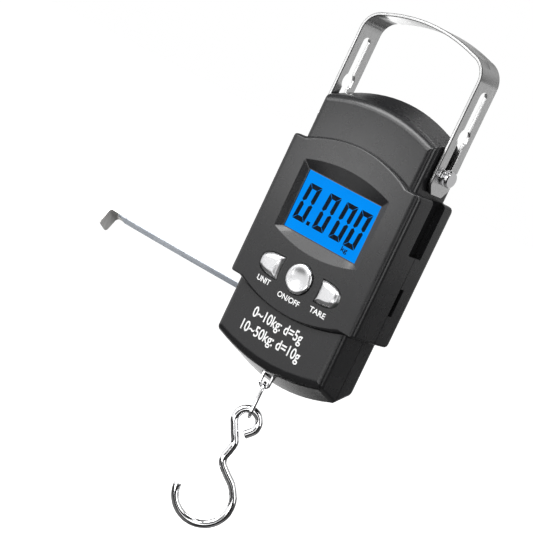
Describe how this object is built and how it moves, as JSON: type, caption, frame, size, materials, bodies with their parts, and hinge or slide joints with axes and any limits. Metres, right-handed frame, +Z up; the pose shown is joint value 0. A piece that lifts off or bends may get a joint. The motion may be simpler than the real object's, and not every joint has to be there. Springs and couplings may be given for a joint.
{
  "type": "digital hanging scale with tape",
  "caption": "Hand-held digital hanging scale: dark arched casing with lit display and metal keys, slotted steel strap handle, swivelling wire hook and pull-out steel tape.",
  "frame": {"origin": "underside of the middle of the handle's top bar, where the hand lifts it", "axes": "+Z up along the casing, the display faces -Y, the tape comes out towards -X"},
  "size_m": [0.1576, 0.0297, 0.2291],
  "materials": {
    "casing_plastic": "grey-black moulded plastic, satin",
    "key_metal": "plated, satin",
    "lens": "clear window",
    "display_glass": "lit blue, dark segments",
    "brushed_steel": "rolled and satin",
    "chrome": "polished",
    "tape_steel": "blank top face; printed underside",
    "clip_steel": "dark zinc",
    "board": "green solder mask",
    "dark_plastic": "black moulded",
    "white_plastic": "white moulded",
    "rubber": "silicone",
    "aluminium": "milled",
    "battery_wrap": "shrink wrap"
  },
  "bodies": {
    "handle": {"handle": "brushed_steel"},
    "bushes": {"handle_bush_left": "chrome", "handle_bush_right": "chrome"},
    "casing": {"front_shell": "casing_plastic", "rear_shell": "casing_plastic", "display_lens": "lens", "lcd_glass": "display_glass", "backlight": "white_plastic", "zebra_strip": "rubber", "circuit_board": "board", "control_chip": "dark_plastic", "unit_switch": "dark_plastic", "power_switch": "dark_plastic", "tare_switch": "dark_plastic", "load_cell": "aluminium", "gauge_potting": "white_plastic", "handle_yoke": "brushed_steel", "yoke_stud": "brushed_steel", "handle_pin_left": "chrome", "handle_pin_right": "chrome", "reel_shaft": "brushed_steel", "reel_cover": "dark_plastic", "reel_spring": "brushed_steel", "tape_strip": "tape_steel", "battery_1": "battery_wrap", "battery_2": "battery_wrap", "battery_contact_top": "brushed_steel", "battery_contact_bottom": "brushed_steel", "case_screw_1": "brushed_steel", "case_screw_2": "brushed_steel", "case_screw_3": "brushed_steel", "case_screw_4": "brushed_steel"},
    "door": {"battery_door": "casing_plastic"},
    "unit_key": {"unit_button": "key_metal"},
    "power_key": {"power_button": "key_metal"},
    "tare_key": {"tare_button": "key_metal"},
    "swivel": {"swivel_eye": "chrome", "swivel_nut": "brushed_steel"},
    "link": {"link": "chrome"},
    "hook": {"hook": "chrome"},
    "reel": {"reel_hub": "white_plastic", "tape_coil": "tape_steel"},
    "tape_end": {"tape_clip": "clip_steel", "clip_rivet": "brushed_steel"}
  },
  "joints": [
    {"name": "handle_slide", "type": "slide", "parent": "handle", "child": "bushes", "axis": [0, 0, 1], "range_m": [0, 0.029]},
    {"name": "handle_swing", "type": "hinge", "parent": "bushes", "child": "casing", "pos_m": [0, 0, -0.0518], "axis": [1, 0, 0], "range_deg": [-90, 90]},
    {"name": "swivel_spin", "type": "hinge", "parent": "casing", "child": "swivel", "pos_m": [0, -0.0053, -0.1558], "axis": [0, 0, 1], "continuous": true},
    {"name": "link_swing", "type": "hinge", "parent": "swivel", "child": "link", "pos_m": [0, -0.0053, -0.1607], "axis": [0.5878, -0.809, 0], "range_deg": [-60, 60]},
    {"name": "hook_swing", "type": "hinge", "parent": "link", "child": "hook", "pos_m": [0, -0.0053, -0.1736], "axis": [0.809, 0.5878, 0], "range_deg": [-40, 40]},
    {"name": "unit_press", "type": "slide", "parent": "casing", "child": "unit_key", "axis": [0, 1, 0], "range_m": [0, 0.0008], "stiffness_N_per_m": 1500, "springref_m": -0.0003},
    {"name": "power_press", "type": "slide", "parent": "casing", "child": "power_key", "axis": [0, 1, 0], "range_m": [0, 0.0008], "stiffness_N_per_m": 1500, "springref_m": -0.0003},
    {"name": "tare_press", "type": "slide", "parent": "casing", "child": "tare_key", "axis": [0, 1, 0], "range_m": [0, 0.0008], "stiffness_N_per_m": 1500, "springref_m": -0.0003},
    {"name": "door_swing", "type": "hinge", "parent": "casing", "child": "door", "pos_m": [0, 0.0134, -0.1094], "axis": [-1, 0, 0], "range_deg": [0, 110]},
    {"name": "tape_pull", "type": "slide", "parent": "casing", "child": "tape_end", "axis": [-1, 0, 0], "range_m": [-0.08, 0], "deforming": ["tape_strip"]},
    {"name": "reel_spin", "type": "hinge", "parent": "casing", "child": "reel", "pos_m": [-0.014, 0.0066, -0.1203], "axis": [0, 1, 0], "range_deg": [-445, 5]}
  ],
  "couplings": [
    {"joint": "reel_spin", "follows": "tape_pull", "rad_per_m": 96.154}
  ]
}
